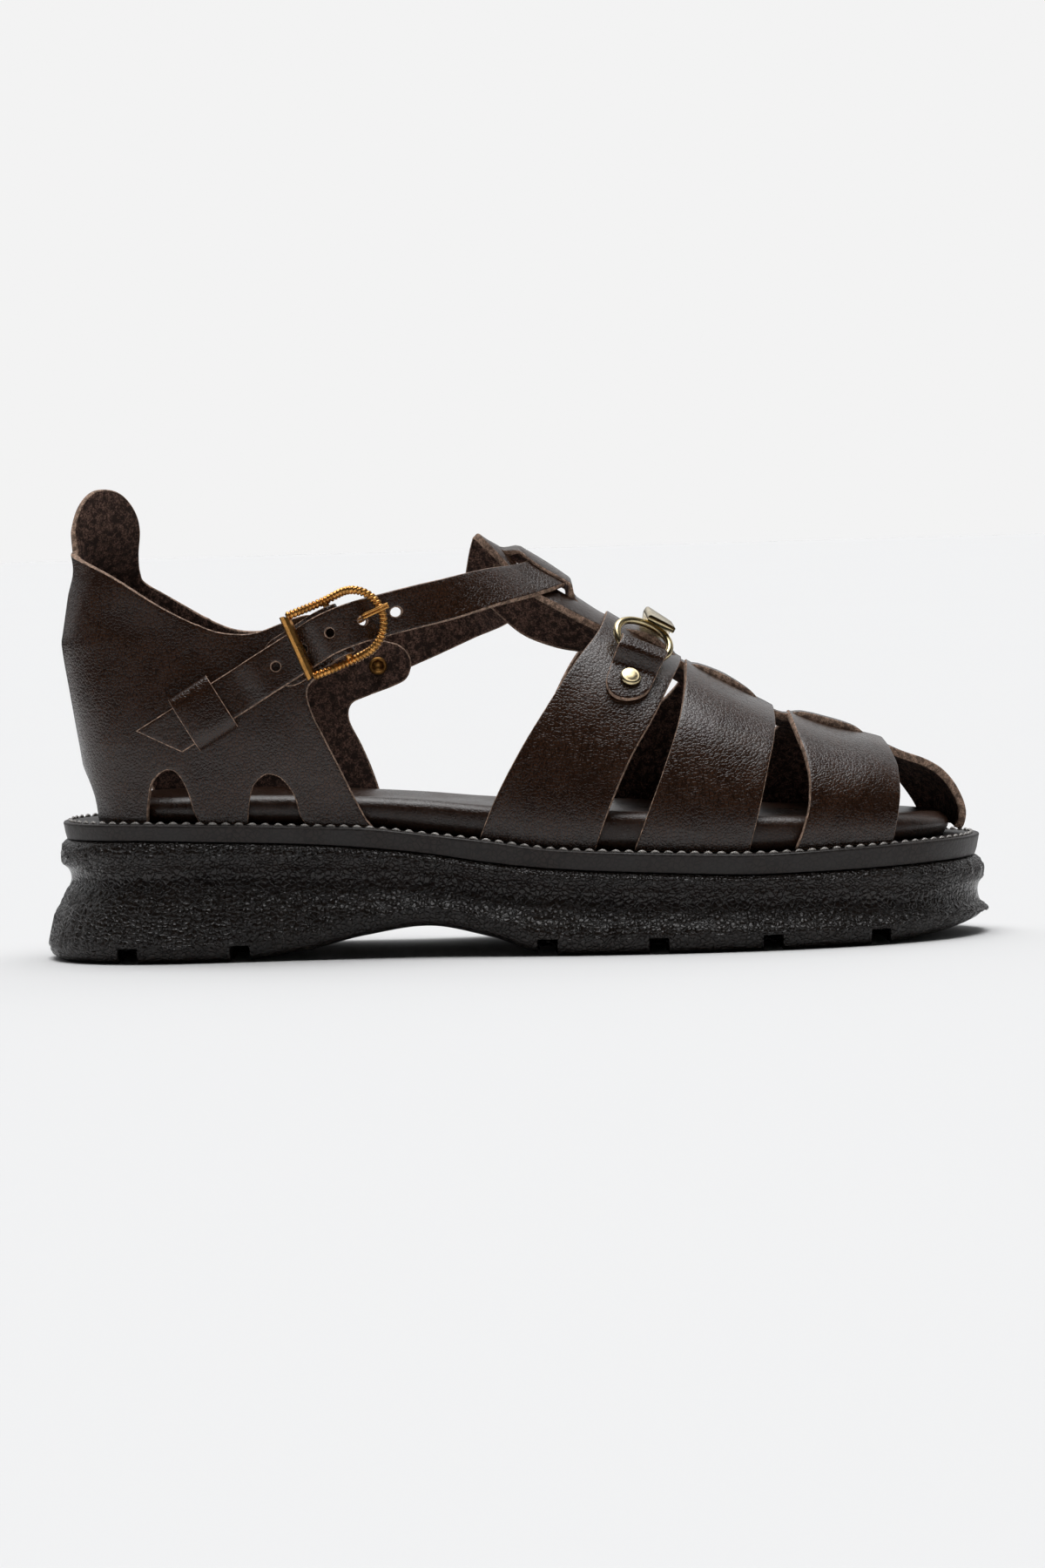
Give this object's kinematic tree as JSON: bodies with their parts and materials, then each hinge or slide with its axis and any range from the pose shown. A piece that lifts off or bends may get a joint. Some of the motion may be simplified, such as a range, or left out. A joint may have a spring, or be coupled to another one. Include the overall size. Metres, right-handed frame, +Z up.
{
  "type": "huarache sandal",
  "caption": "Right leather cage sandal with a threaded centre strip, buckled ankle strap, pull tab, metal bit and a thick platform sole.",
  "frame": {"origin": "on the floor, under the middle of the sole's length and width", "axes": "+X towards the toe, +Y towards the inner (medial) side, +Z up"},
  "size_m": [0.2704, 0.0999, 0.1339],
  "materials": {
    "leather": "gloss",
    "footbed": "satin",
    "rubber": "matte",
    "welt": "matte",
    "gold": "polished",
    "pale_gold": "polished"
  },
  "bodies": {
    "root": {"outsole": "rubber", "welt": "welt", "footbed": "footbed", "vamp_cage": "leather", "heel_counter": "leather", "ankle_strap": "leather", "buckle_chape": "leather", "strap_keeper": "leather", "buckle_frame": "gold", "buckle_prong": "gold", "strap_rivet": "gold", "bit_link": "pale_gold", "bit_ring_lateral": "pale_gold", "bit_tab_lateral": "leather", "bit_rivet_lateral": "pale_gold", "bit_ring_medial": "pale_gold", "bit_tab_medial": "leather", "bit_rivet_medial": "pale_gold"}
  },
  "joints": []
}
